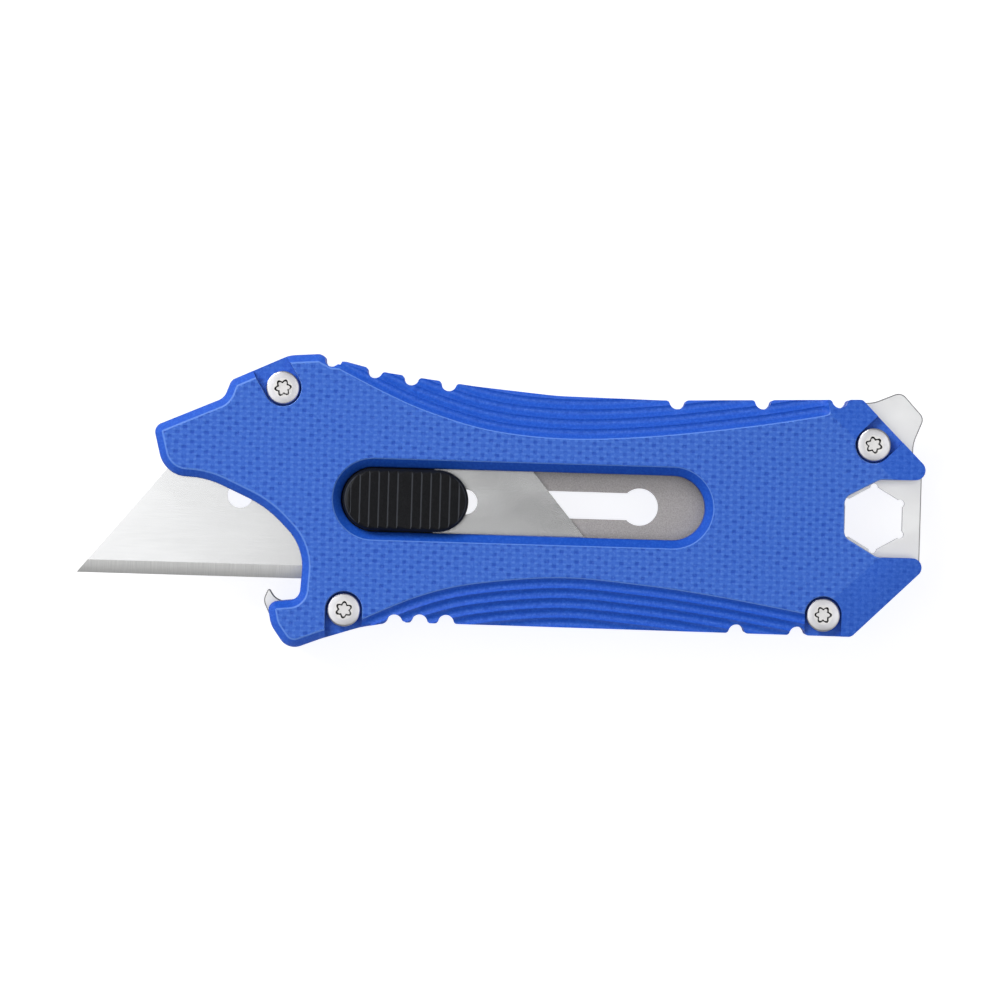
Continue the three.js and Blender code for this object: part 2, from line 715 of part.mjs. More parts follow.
// A screw with the underside of its head at z = 0 and its shank along -z.
function starScrew() {
  const rim = HEAD_H - HEAD_CHAMFER;
  const body = turned(0, 0, [
    [0, -SCREW_LENGTH],
    [SHANK_R, -SCREW_LENGTH],
    [SHANK_R, 0],
    [HEAD_R, 0],
    [HEAD_R, rim],
    [HEAD_R - HEAD_CHAMFER, HEAD_H],
    [0, HEAD_H],
  ]);
  return cut(body, prism(starOutline(STAR_OUTER_R, STAR_INNER_R), HEAD_H - STAR_DEPTH, HEAD_H + OVER));
}

// A threaded spacer centred on z = 0, bored through.
function pillar() {
  const half = FACE_Z / 2 - POCKET_DEPTH - PILLAR_LAND - FIT;
  const bore = rod(0, 0, PILLAR_BORE_R, -half - OVER, half + OVER);
  return cut(rod(0, 0, PILLAR_R, -half, half), bore);
}

// ---------------------------------------------------------------- assembly

const LAMINATE = { color: 0x3a67d0, roughness: 0.55, metalness: 0 };
const BLADE_STEEL = { color: 0xe2e4e6, roughness: 0.25, metalness: 1 };
const PLATE_STEEL = { color: 0xb8b8b9, roughness: 0.45, metalness: 1 };
const FASTENER_STEEL = { color: 0xdcdad7, roughness: 0.3, metalness: 1 };
const BLACK_PLASTIC = { color: 0x202123, roughness: 0.6, metalness: 0 };
const ACETAL = { color: 0x3b3d40, roughness: 0.5, metalness: 0 };

const knife = new THREE.Group();

function addPart(name, solid, material) {
  const mesh = new THREE.Mesh(toGeometry(solid), new THREE.MeshStandardMaterial(material));
  mesh.name = name;
  knife.add(mesh);
  return mesh;
}

const shell = scaleShell();
addPart('front_scale', frontScale(shell), LAMINATE).position.z = FRONT_Z;
const backScale = addPart('back_scale', shell, LAMINATE);
backScale.position.z = PLATE_Z;
backScale.scale.z = -1;

addPart('tool_plate', toolPlate(), PLATE_STEEL);
addPart('blade', blade(), BLADE_STEEL);
addPart('blade_carrier', bladeCarrier(), ACETAL);
addPart('thumb_button', thumbButton(), BLACK_PLASTIC);
addPart('return_spring', returnSpring(), FASTENER_STEEL);
addPart('lock_stem', lockStem(), FASTENER_STEEL);
addPart('lock_shuttle', lockShuttle(), PLATE_STEEL);
addPart('stem_nut', stemNut(), FASTENER_STEEL);

const screw = starScrew();
const spacer = pillar();
for (const { name, x, y } of FASTENERS) {
  addPart(`pillar_${name}`, spacer, FASTENER_STEEL).position.set(x, y, FACE_Z / 2);
  addPart(`screw_front_${name}`, screw, FASTENER_STEEL).position.set(x, y, FACE_Z - POCKET_DEPTH);
  const back = addPart(`screw_back_${name}`, screw, FASTENER_STEEL);
  back.position.set(x, y, POCKET_DEPTH);
  back.rotation.x = Math.PI;
}

export default knife;
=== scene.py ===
"""Looks of the utility knife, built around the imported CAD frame.

Shapes are worked out in millimetres in the CAD's own frame and turned into metres when a mesh is made.
"""

import json
import math

import bmesh
import bpy
from mathutils import Matrix, Vector


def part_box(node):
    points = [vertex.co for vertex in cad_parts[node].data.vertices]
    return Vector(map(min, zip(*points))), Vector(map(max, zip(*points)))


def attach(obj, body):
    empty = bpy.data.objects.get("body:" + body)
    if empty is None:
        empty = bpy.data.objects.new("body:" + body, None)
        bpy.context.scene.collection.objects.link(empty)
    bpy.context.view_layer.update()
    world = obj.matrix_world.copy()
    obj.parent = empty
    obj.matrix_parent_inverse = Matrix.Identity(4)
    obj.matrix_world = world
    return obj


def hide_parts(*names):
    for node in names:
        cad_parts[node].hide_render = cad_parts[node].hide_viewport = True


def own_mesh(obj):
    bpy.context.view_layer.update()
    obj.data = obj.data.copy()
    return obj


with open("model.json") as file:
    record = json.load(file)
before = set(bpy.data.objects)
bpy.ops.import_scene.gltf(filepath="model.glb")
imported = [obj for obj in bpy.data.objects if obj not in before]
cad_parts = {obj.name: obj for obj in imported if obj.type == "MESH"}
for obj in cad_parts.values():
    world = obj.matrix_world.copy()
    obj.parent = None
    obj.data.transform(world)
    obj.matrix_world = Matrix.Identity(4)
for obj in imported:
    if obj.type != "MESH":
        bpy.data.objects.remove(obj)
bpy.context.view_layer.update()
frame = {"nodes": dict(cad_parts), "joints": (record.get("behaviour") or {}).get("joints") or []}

MM = 0.001
OVER = 1  # how far a cutting tool runs past a face


def box_mm(node):
    """Lowest and highest corners of a CAD node, in millimetres."""
    low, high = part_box(node)
    return low / MM, high / MM


# ---------------------------------------------------------------- levels and places, from the frame

BACK_FACE_Z = box_mm("back_scale")[0].z
PLATE_Z = box_mm("tool_plate")[0].z
FRONT_Z, FACE_Z = box_mm("front_scale")[0].z, box_mm("front_scale")[1].z
SCALE_THICK = FACE_Z - FRONT_Z
BLADE_LOW, BLADE_HIGH = box_mm("blade")
CARRIER_LOW, CARRIER_HIGH = box_mm("blade_carrier")
BUTTON_LOW, BUTTON_HIGH = box_mm("thumb_button")
SHUTTLE_LOW, SHUTTLE_HIGH = box_mm("lock_shuttle")
RANGES = {joint["name"]: joint["range_m"][1] / MM for joint in frame["joints"]}
TRAVEL, PRESS = RANGES["blade_slide"], RANGES["button_press"]
BUTTON_X = (BUTTON_LOW.x + BUTTON_HIGH.x) / 2
BLADE_MID_X = (BLADE_LOW.x + BLADE_HIGH.x) / 2
STEM_X = BLADE_MID_X

# Each fastener's name, and the direction in degrees in which its screw pocket runs out.
FASTENERS = {"nose": 121, "belly": 270, "horn": 45, "heel": 270}


def fastener_place(name):
    low, high = box_mm(f"screw_front_{name}")
    return (low.x + high.x) / 2, (low.y + high.y) / 2


# ---------------------------------------------------------------- outlines, as in the CAD

# Corners as x, y and the radius of the round that replaces the corner, clockwise.
HANDLE_CORNERS = [
    # nose
    (-38.76, 7.4, 1.05), (-31, 10.79, 1.6), (-30.25, 12.79, 1.05),
    # front lobe of the spine
    (-23.9, 15.73, 4), (-20.45, 15.98, 1.0), (-19, 15.25, 0.5), (-17.5, 15.2, 1),
    # spine
    (-12.9, 14.1, 6), (-3, 12.88, 20), (6, 12.1, 30), (18, 11.95, 30), (40, 12.67, 0.6),
    # upper horn
    (48.72, 3.93, 1.1), (42.15, 3.83, 1.4),
    # notch behind the hex opening
    (38.29, 1.74, 1.15), (38.36, -2.63, 1.1), (42.08, -4.82, 1.6),
    # lower horn
    (48.62, -4.78, 1.05), (39.49, -13.75, 0.9),
    # belly and front lobe
    (-11.5, -13.6, 10), (-15.2, -14.3, 10), (-19.5, -15.7, 10),
    (-23.1, -17.1, 1.9), (-25.05, -14.35, 3), (-25.6, -11.75, 1.0),
    # finger hollow
    (-22, -11.4, 1.3), (-21.63, -5.56, 6), (-25.95, -1.2, 12), (-32.7, 1.85, 10), (-37.4, 1.98, 3.2),
]

# Half-round thumb notches as x, y, radius.
EDGE_NOTCHES = [
    (-19.13, 15.34, 0.75), (-14.31, 14.29, 0.82), (-10.24, 13.61, 0.82), (-6.05, 13.11, 0.84),
    (19.42, 11.91, 0.9), (28.96, 12.17, 0.9), (37.49, 12.56, 0.9),
    (33.49, -13.68, 0.9), (26.72, -13.64, 0.9),
    (-5.62, -13.52, 0.88), (-8.56, -13.55, 0.88), (-11.35, -13.63, 0.88),
]

# Inner boundaries of the two grips.
SPINE_GRIP = [
    (-19.9, 15.2), (-12.94, 11.83), (-7.76, 9.77), (-1, 8.02),
    (7.31, 7.37), (17.06, 7.94), (28.36, 9.45), (36.6, 10.93),
]
BELLY_GRIP = [
    (34.9, -11.43), (24.36, -9.71), (15.83, -8.68), (6.92, -8.15),
    (-2.52, -9.08), (-8.85, -10.72), (-15.6, -13.7),
]

SLOT_FRONT_X, SLOT_REAR_X, SLOT_HALF = -17.66, 22.82, 3.58


def points_2d(*places):
    return [Vector(p) for p in places]


def rectangle(low_x, low_y, high_x, high_y):
    return points_2d((low_x, low_y), (high_x, low_y), (high_x, high_y), (low_x, high_y))


def rounded(corners, step_degrees=5):
    """Points of a closed outline whose corners (x, y, r) are rounded by arcs."""
    points = []
    count = len(corners)
    for i, (x, y, r) in enumerate(corners):
        corner = Vector((x, y))
        to_previous = (Vector(corners[i - 1][:2]) - corner).normalized()
        to_next = (Vector(corners[(i + 1) % count][:2]) - corner).normalized()
        if r == 0:
            points.append(corner)
            continue
        inside = math.acos(max(-1, min(1, to_previous.dot(to_next))))
        start = corner + to_previous * (r / math.tan(inside / 2))
        centre = corner + (to_previous + to_next).normalized() * (r / math.sin(inside / 2))
        side = to_next.x * to_previous.y - to_next.y * to_previous.x
        turn = math.copysign(math.pi - inside, side)
        steps = max(2, math.ceil(abs(math.degrees(turn)) / step_degrees))
        arm = start - centre
        for s in range(steps + 1):
            points.append(centre + Matrix.Rotation(turn * s / steps, 2) @ arm)
    return points


def inset(corners, distance):
    """The same corners moved inwards, for a clockwise outline."""
    moved = []
    count = len(corners)
    for i, (x, y, r) in enumerate(corners):
        arriving = Vector((x - corners[i - 1][0], y - corners[i - 1][1])).normalized()
        following = corners[(i + 1) % count]
        leaving = Vector((following[0] - x, following[1] - y)).normalized()
        turn = arriving.x * leaving.y - arriving.y * leaving.x
        miter = distance / (1 + arriving.dot(leaving))
        radius = r if r == 0 else (max(r - distance, 0.03) if turn < 0 else r + distance)
        moved.append((x + (arriving.y + leaving.y) * miter, y - (arriving.x + leaving.x) * miter, radius))
    return moved


def stadium(from_x, to_x, half, steps=28):
    """Two half rounds joined by straights, along x."""
    points = []
    for centre, first in ((to_x - half, -90), (from_x + half, 90)):
        for s in range(steps + 1):
            angle = math.radians(first + 180 * s / steps)
            points.append(Vector((centre + half * math.cos(angle), half * math.sin(angle))))
    return points


def circle(x, y, radius, steps=48):
    turns = [2 * math.pi * s / steps for s in range(steps)]
    return [Vector((x + radius * math.cos(a), y + radius * math.sin(a))) for a in turns]


def standing(point, z):
    return Vector((point.x, point.y, z))


def at_height(points, z):
    return [standing(p, z) for p in points]


# ---------------------------------------------------------------- mesh making

WELD_DISTANCE = 1e-7


def make_object(name, verts, faces):
    """A mesh object from vertices in millimetres, with its faces turned outwards."""
    mesh = bpy.data.meshes.new(name)
    mesh.from_pydata([tuple(v * MM) for v in verts], [], faces)
    solid = bpy.data.objects.new(name, mesh)
    bpy.context.scene.collection.objects.link(solid)
    work = bmesh.new()
    work.from_mesh(mesh)
    bmesh.ops.remove_doubles(work, verts=work.verts, dist=WELD_DISTANCE)
    bmesh.ops.recalc_face_normals(work, faces=work.faces)
    work.to_mesh(mesh)
    work.free()
    return solid


def loft(name, rings):
    """A closed solid through rings of equally many points, capped at both ends."""
    count = len(rings[0])
    verts = [v for ring in rings for v in ring]
    faces = [tuple(range(count)), tuple(reversed(range(len(verts) - count, len(verts))))]
    for k in range(len(rings) - 1):
        a, b = k * count, (k + 1) * count
        for i in range(count):
            j = (i + 1) % count
            faces.append((a + j, a + i, b + i, b + j))
    return make_object(name, verts, faces)


def layered(name, outline_at, levels):
    """A loft whose outline depends on a size; levels are pairs of size and height."""
    return loft(name, [at_height(outline_at(size), z) for size, z in levels])


def column(name, outline, low, high):
    """An upright solid with one outline."""
    return layered(name, lambda _: outline, [(0, low), (0, high)])


def boolean(target, tools, operation="DIFFERENCE"):
    """Cuts or joins closed solids, and deletes the tools."""
    for tool in tools:
        step = target.modifiers.new("step", "BOOLEAN")
        step.object, step.operation, step.solver = tool, operation, "MANIFOLD"
    graph = bpy.context.evaluated_depsgraph_get()
    result = bpy.data.meshes.new_from_object(target.evaluated_get(graph))
    target.modifiers.clear()
    target.data = result
    for tool in tools:
        bpy.data.objects.remove(tool)
    return target


def duplicate(source, name):
    copy = source.copy()
    copy.data = source.data.copy()
    copy.name = name
    bpy.context.scene.collection.objects.link(copy)
    return copy


def soften(solid, width, segments=2, angle=32):
    """Breaks sharp edges by a small round and shades the rest smoothly."""
    mesh = solid.data
    if width:
        edge = solid.modifiers.new("edge", "BEVEL")
        edge.width = width * MM
        edge.segments = segments
        edge.limit_method = "ANGLE"
        edge.angle_limit = math.radians(angle)
        edge.use_clamp_overlap = True
        edge.miter_outer = "MITER_ARC"
        graph = bpy.context.evaluated_depsgraph_get()
        mesh = bpy.data.meshes.new_from_object(solid.evaluated_get(graph))
        solid.modifiers.clear()
        solid.data = mesh
    mesh.shade_smooth()
    mesh.set_sharp_from_angle(angle=math.radians(angle))
    weights = solid.modifiers.new("normals", "WEIGHTED_NORMAL")
    weights.keep_sharp = True
    weights.weight = 80
    return solid


def finish_piece(solid, material, body, slot, *nodes):
    """Gives a piece its look and body, and hides the CAD nodes that it replaces. The slot is not used."""
    if material is not None:
        solid.data.materials.clear()
        solid.data.materials.append(material)
    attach(solid, body)
    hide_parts(*nodes)


# ---------------------------------------------------------------- camera, floor and light

VIEW_WIDTH = 1000 / 9  # millimetres across the picture, at the height of the face
VIEW_CENTRE_Y = 0.33
VIEW_TURN = math.radians(1.7)
LENS_MM, SENSOR_MM = 300, 36

lens = bpy.data.cameras.new("camera")
lens.lens = LENS_MM
lens.sensor_width = SENSOR_MM
lens.clip_start = 0.05
camera = bpy.data.objects.new("camera", lens)
bpy.context.scene.collection.objects.link(camera)
camera.location = Vector((0, VIEW_CENTRE_Y, FACE_Z + VIEW_WIDTH * LENS_MM / SENSOR_MM)) * MM
camera.rotation_euler = (0, 0, VIEW_TURN)
bpy.context.scene.camera = camera
bpy.context.scene.view_settings.view_transform = "Standard"


def area_light(name, place, size, power, aim=(0, 0, 0)):
    """A square light at a place in metres that faces its aim."""
    light = bpy.data.lights.new(name, "AREA")
    light.energy = power
    light.size = size
    holder = bpy.data.objects.new(name, light)
    holder.location = place
    holder.rotation_euler = (Vector(aim) - Vector(place)).to_track_quat("-Z", "Y").to_euler()
    bpy.context.scene.collection.objects.link(holder)


# The two overhead panels leave a gap between them, which grades the flat steel from light to dark.
area_light("key", (-0.45, 0.42, 0.55), 0.4, 4.8)
area_light("fill", (0.55, -0.25, 0.6), 0.6, 0.7)
area_light("overhead_left", (-0.455, 0.02, 1.3), 0.8, 2.5, aim=(-0.455, 0.02, 0))
area_light("overhead_right", (0.35, 0.02, 1.3), 0.5, 1.05, aim=(0.35, 0.02, 0))

world = bpy.data.worlds.new("studio")
world.use_nodes = True
sky = world.node_tree.nodes["Background"]
sky.inputs["Color"].default_value = (1, 1, 1, 1)
sky.inputs["Strength"].default_value = 0.22
bpy.context.scene.world = world


# ---------------------------------------------------------------- materials

def linear(red, green, blue):
    """A colour given as 0 to 255 display values, as linear light."""
    return tuple((c / 255) ** 2.2 for c in (red, green, blue)) + (1,)


RAMP_SOCKETS = ("Value", "From Min", "From Max", "To Min", "To Max")
MIX_A, MIX_B, MIX_RESULT = 6, 7, 2  # the colour sockets of a Mix node


class Surface:
    """A Principled material with short helpers for its nodes; lengths are in millimetres."""

    def __init__(self, name, colour, roughness, metallic=0.0):
        self.material = bpy.data.materials.new(name)
        self.material.use_nodes = True
        self.tree = self.material.node_tree
        self.shader = self.tree.nodes["Principled BSDF"]
        self.shader.inputs["Base Color"].default_value = colour
        self.shader.inputs["Roughness"].default_value = roughness
        self.shader.inputs["Metallic"].default_value = metallic
        self.place = self.tree.nodes.new("ShaderNodeTexCoord").outputs["Object"]

    def node(self, kind, **inputs):
        node = self.tree.nodes.new(kind)
        for key, value in inputs.items():
            self.feed(node.inputs[key], value)
        return node

    def feed(self, socket, value):
        if isinstance(value, bpy.types.NodeSocket):
            self.tree.links.new(value, socket)
        else:
            socket.default_value = value

    def split(self, vector):
        """The x, y and z outputs of a vector."""
        return self.node("ShaderNodeSeparateXYZ", Vector=vector).outputs

    def facing(self, axis):
        """How far the face's own normal points along an axis, either way: 0 to 1."""
        normal = self.node("ShaderNodeNewGeometry").outputs["True Normal"]
        return self.math("ABSOLUTE", self.split(normal)[axis])

    def math(self, operation, a, b=0.0, clamp=False):
        node = self.tree.nodes.new("ShaderNodeMath")
        node.operation = operation
        node.use_clamp = clamp
        self.feed(node.inputs[0], a)
        self.feed(node.inputs[1], b)
        return node.outputs[0]

    def ramp(self, value, low, high, to_low=0.0, to_high=1.0):
        """A smooth step from one value to another as the input runs from low to high."""
        node = self.tree.nodes.new("ShaderNodeMapRange")
        node.interpolation_type = "SMOOTHSTEP"
        for socket, given in zip(RAMP_SOCKETS, (value, low, high, to_low, to_high)):
            self.feed(node.inputs[socket], given)
        return node.outputs[0]

    def scaled(self, x, y, z):
        node = self.tree.nodes.new("ShaderNodeMapping")
        node.inputs["Scale"].default_value = (x / MM, y / MM, z / MM)
        self.tree.links.new(self.place, node.inputs["Vector"])
        return node.outputs[0]

    def noise(self, scale, detail=2.0, roughness=0.5):
        """Noise with so many cells per millimetre along x, y and z."""
        settings = {"Scale": 1.0, "Detail": detail, "Roughness": roughness}
        return self.node("ShaderNodeTexNoise", Vector=self.scaled(*scale), **settings).outputs["Fac"]

    def mix(self, factor, a, b):
        node = self.tree.nodes.new("ShaderNodeMix")
        node.data_type = "RGBA"
        self.feed(node.inputs["Factor"], factor)
        self.feed(node.inputs[MIX_A], a)
        self.feed(node.inputs[MIX_B], b)
        return node.outputs[MIX_RESULT]

    def bump(self, height, distance, strength=1.0, under=None):
        node = self.node("ShaderNodeBump", Height=height, Distance=distance * MM, Strength=strength)
        if under is not None:
            self.tree.links.new(under, node.inputs["Normal"])
        return node.outputs["Normal"]

    def put(self, socket, value):
        self.feed(self.shader.inputs[socket], value)


CLOTH_PITCH_X, CLOTH_PITCH_Y = 0.83, 0.55  # from one thread to the next
OUTER_SKIN = 0.06  # depth in which the outer faces show their cloth
FACET_STEEPNESS = (0.93, 0.975)  # upright part of the normal on steep grips and on gentle facets


def laminate():
    """Woven glass laminate: the cloth shows on the flat faces, and machined slopes are plainer."""
    s = Surface("laminate", linear(61, 105, 203), 0.5)
    place = s.split(s.place)

    # The weave: crossed sine waves, swayed by noise, with dark cells where a thread dips.
    sway = s.math("MULTIPLY", s.math("SUBTRACT", s.noise((0.3, 0.3, 0.3)), 0.5), 2.2)
    jog = s.math("MULTIPLY", s.math("SUBTRACT", s.noise((1.1, 1.4, 0.4)), 0.5), 1.1)
    across = s.math("ADD", s.math("MULTIPLY", place["X"], math.pi / (CLOTH_PITCH_X * MM)), sway)
    along = s.math("ADD", s.math("MULTIPLY", place["Y"], math.pi / (CLOTH_PITCH_Y * MM)), jog)
    sine_x, sine_y = s.math("SINE", across), s.math("SINE", along)
    over = s.ramp(s.math("MULTIPLY", sine_x, sine_y), 0.0, 0.2)
    column_mask = s.ramp(s.math("ABSOLUTE", sine_x), 0.35, 0.85)
    row_mask = s.ramp(s.math("ABSOLUTE", sine_y), 0.3, 0.8)
    patch = s.ramp(s.noise((0.7, 0.9, 0.4), 2.0), 0.3, 0.65, 0.35, 1.0)
    cells = s.math("MULTIPLY", s.math("MULTIPLY", column_mask, row_mask), s.math("MULTIPLY", over, patch))
    threads = s.math("SUBTRACT", 1.0, s.math("MAXIMUM", column_mask, row_mask), clamp=True)
    speckle = s.noise((3.6, 3.6, 2.0), 3.0, 0.65)

    # Where the cloth shows: within the skin of either outer face, and faintly on gentle slopes.
    steep = s.facing("Z")
    middle_z = (FACE_Z + BACK_FACE_Z) / 2
    half = (FACE_Z - BACK_FACE_Z) / 2
    from_middle = s.math("ABSOLUTE", s.math("SUBTRACT", place["Z"], middle_z * MM))
    flat = s.ramp(from_middle, (half - OUTER_SKIN) * MM, (half - OUTER_SKIN / 3) * MM)
    slope = s.ramp(steep, *FACET_STEEPNESS, 0.0, 0.5)
    cloth_shows = s.math("MAXIMUM", flat, slope)
    wall = s.ramp(steep, 0.15, 0.7)

    cloth = s.mix(s.math("MULTIPLY", cells, 0.8), linear(59, 108, 212), linear(26, 76, 184))
    cloth = s.mix(s.math("MULTIPLY", threads, 0.55), cloth, linear(88, 136, 230))
    cloth = s.mix(s.ramp(speckle, 0.5, 0.75, 0.0, 0.32), cloth, linear(108, 150, 238))
    cloth = s.mix(s.ramp(speckle, 0.28, 0.48, 0.28, 0.0), cloth, linear(22, 70, 178))
    plies = s.ramp(s.noise((0.7, 0.7, 7.0), 2.0), 0.35, 0.65)
    side = s.mix(plies, linear(16, 64, 168), linear(28, 82, 192))
    slope_blue = s.mix(s.ramp(speckle, 0.4, 0.7), linear(32, 88, 204), linear(46, 102, 216))
    base = s.mix(cloth_shows, s.mix(wall, side, slope_blue), cloth)

    # A painted highlight: a light line just below the face, along the machined edges.
    below = s.math("SUBTRACT", half * MM, from_middle)
    starts = s.ramp(below, 0.005 * MM, 0.03 * MM)
    stops = s.ramp(below, 0.08 * MM, 0.14 * MM, 1.0, 0.0)
    on_slopes = s.ramp(steep, 0.95, 0.975, 0.7, 0.0)
    painted_light = s.math("MULTIPLY", s.math("MULTIPLY", starts, stops), on_slopes)
    s.put("Base Color", s.mix(painted_light, base, linear(112, 156, 240)))

    s.put("Roughness", s.ramp(s.noise((0.8, 0.8, 0.8)), 0.3, 0.7, 0.46, 0.6))
    s.put("Specular IOR Level", 0.3)
    height = s.math("SUBTRACT", s.math("MULTIPLY", threads, 0.5), cells)
    rough = s.bump(s.noise((9.0, 9.0, 9.0), 2.0), 0.012, 0.6)
    s.put("Normal", s.bump(s.math("MULTIPLY", height, cloth_shows), 0.03, 0.8, rough))
    return s.material


BEVEL_WIDTH = 1.45  # ground band along the cutting edge


def blade_steel():
    """Satin strip steel with a fine ground bevel."""
    s = Surface("blade_steel", (0.8, 0.81, 0.82, 1), 0.3, 1.0)
    ground = s.math("LESS_THAN", s.split(s.place)["Y"], (BLADE_LOW.y + BEVEL_WIDTH) * MM)
    lines = s.noise((14.0, 0.12, 1.0), 3.0, 0.7)
    satin = s.noise((0.25, 9.0, 1.0), 2.0, 0.6)
    plain = s.mix(s.ramp(satin, 0.2, 0.8), (0.74, 0.745, 0.75, 1), (0.78, 0.785, 0.79, 1))
    worn = s.mix(s.ramp(lines, 0.25, 0.75), (0.5, 0.5, 0.5, 1), (0.68, 0.68, 0.67, 1))
    s.put("Base Color", s.mix(ground, plain, worn))
    cloudy = s.ramp(s.noise((0.1, 0.2, 1.0), 3.0), 0.3, 0.7, 0.15, 0.19)
    s.put("Roughness", s.math("ADD", cloudy, s.math("MULTIPLY", ground, 0.25)))
    grain = s.mix(ground, satin, lines)
    s.put("Normal", s.bump(grain, 0.002, 0.4))
    return s.material


SHADED_MID_X = 5  # middle of the part of the plate between the scales, which has bead-blast grit and is coloured darker as painted shade
SHADED_BLASTED_REACH, LIT_SATIN_REACH = 26, 31  # distances from there between which the finish changes, and the painted shade gives way to a lighter painted lit tone


def plate_steel():
    """Stainless plate: bead-blast grit between the scales, satin where it stands out of them. Its colour
    is a painted shade between the scales and on its side walls, and a lighter painted lit tone outside.
    """
    s = Surface("plate_steel", (0.62, 0.61, 0.6, 1), 0.42, 1.0)
    from_middle = s.math("ABSOLUTE", s.math("SUBTRACT", s.split(s.place)["X"], SHADED_MID_X * MM))
    # Painted light: this mask colours the plate darker between the scales, as the shade of the slot, and
    # lighter outside them. It also changes the roughness and the grit, which are real.
    satin = s.ramp(from_middle, SHADED_BLASTED_REACH * MM, LIT_SATIN_REACH * MM)
    grit = s.noise((7.0, 7.0, 7.0), 3.0, 0.7)
    cloud = s.ramp(s.noise((0.15, 0.2, 0.2), 2.0), 0.3, 0.7)
    blasted_and_shaded = s.mix(s.ramp(grit, 0.3, 0.7), (0.36, 0.34, 0.335, 1), (0.5, 0.48, 0.48, 1))
    painted_light = s.mix(cloud, (0.76, 0.76, 0.77, 1), (0.84, 0.845, 0.85, 1))
    # Painted shade: faces that do not look up, the plate's side walls, are coloured dark grey.
    face = s.ramp(s.facing("Z"), 0.8, 0.98)
    s.put("Base Color", s.mix(face, (0.3, 0.3, 0.305, 1), s.mix(satin, blasted_and_shaded, painted_light)))
    s.put("Roughness", s.ramp(satin, 0.0, 1.0, 0.5, 0.3))
    s.put("Normal", s.bump(s.math("MULTIPLY", grit, s.ramp(satin, 0.0, 1.0, 1.0, 0.15)), 0.015, 0.7))
    return s.material


def turned_steel(name, dark, light):
    """Turned stainless with faint blotches between two tones."""
    s = Surface(name, light, 0.26, 1.0)
    fine = s.noise((1.5, 1.5, 1.5), 1.0, 0.5)
    s.put("Base Color", s.mix(s.ramp(fine, 0.25, 0.75), dark, light))
    s.put("Roughness", s.ramp(s.noise((2.0, 2.0, 2.0), 2.0), 0.3, 0.7, 0.28, 0.32))
    return s.material


def shaded_recess_steel():
    """The broached walls of a drive recess, coloured near black as painted shade."""
    s = Surface("shaded_recess_steel", (0.16, 0.155, 0.15, 1), 0.5, 1.0)
    # Painted shade: near-black colour with a faint random mottle, for the shade inside the recess.
    shade_mottle = s.noise((5.0, 5.0, 5.0), 3.0, 0.7)
    s.put("Base Color", s.mix(s.ramp(shade_mottle, 0.3, 0.7), (0.015, 0.015, 0.015, 1), (0.05, 0.049, 0.048, 1)))
    return s.material


HIGHLIGHT_BAND = (0.32, 0.26)  # depths below the button's top between which its risers take a painted highlight


def moulded(name, dark, light, painted_highlight, roughness):
    """Moulded plastic with a fine spark texture; steep risers near the button's top are coloured lighter
    as a painted highlight.
    """
    s = Surface(name, dark, roughness)
    grain = s.noise((8.0, 8.0, 8.0), 3.0, 0.65)
    riser = s.ramp(s.facing("X"), 0.4, 0.6)
    band = [(BUTTON_HIGH.z - depth) * MM for depth in HIGHLIGHT_BAND]
    near_top = s.ramp(s.split(s.place)["Z"], *band)
    base = s.mix(s.ramp(grain, 0.35, 0.75), dark, light)
    # Painted highlight: steep risers near the button's top take a lighter colour.
    s.put("Base Color", s.mix(s.math("MULTIPLY", riser, near_top), base, painted_highlight))
    s.put("Roughness", s.ramp(s.noise((1.5, 1.5, 1.5), 2.0), 0.3, 0.7, roughness - 0.06, roughness + 0.08))
    s.put("Specular IOR Level", 0.22)
    s.put("Normal", s.bump(grain, 0.015, 0.6))
    return s.material


def floor_paint():
    """Near-white paint that glows a little, so that it stays pale in the openings."""
    s = Surface("floor_paint", (0.36, 0.36, 0.36, 1), 0.8)
    s.put("Emission Color", (1, 1, 1, 1))
    s.put("Emission Strength", 0.85)
    return s.material


LAMINATE = laminate()
BLADE_STEEL = blade_steel()
PLATE_STEEL = plate_steel()
TURNED_STEEL = turned_steel("turned_steel", (0.77, 0.76, 0.755, 1), (0.81, 0.8, 0.795, 1))
# Painted shade: a darker, faintly blue copy of the turned steel for the sloping rims of the screw heads.
SHADED_RIM_STEEL = turned_steel("shaded_rim_steel", (0.69, 0.685, 0.71, 1), (0.73, 0.725, 0.75, 1))
SHADED_RECESS_STEEL = shaded_recess_steel()
BLACK = moulded("button_plastic", linear(18, 19, 22), linear(31, 32, 36), linear(66, 68, 73), 0.6)
ACETAL = moulded("carrier_plastic", linear(58, 60, 64), linear(70, 72, 76), linear(74, 76, 80), 0.45)

FLOOR_SIZE = 6  # metres
FLOOR_Z = -0.1 * MM

bpy.ops.mesh.primitive_grid_add(
    x_subdivisions=8, y_subdivisions=8, size=FLOOR_SIZE, location=(0, 0, FLOOR_Z))
floor = bpy.context.object
floor.name = "floor"
floor.data.materials.append(floor_paint())


# ---------------------------------------------------------------- scales

GROOVE_PITCH = 1.1
GROOVE_COUNT = 7
GROOVE_DEPTH = 0.31
GROOVE_STEPS = 7
GRIP_SLOPE = 0.32
GRIP_LIP = 0.14
GRIP_LIP_DEPTH = 0.1
GRIP_SAMPLES = 120
GRIP_FADE = 1.1  # length over which a grip's end rises out of the face
TANGENT_STEP = 0.004

FACET_SLOPE = 0.2
FACET_REACH, FACET_RUN_OUT = 9, 8
HORN_FACET = ((42.19, 5.05), (36.23, 11))
HEEL_FACET = ((37.95, -8.75), (42.15, -4.77))

SHOULDER_R = 0.4
BORE_R, PILLAR_SEAT_R = 1.0, 1.65
PILLAR_LAND = 0.65
REAR_START_X = -14  # behind this the handle's edge is square

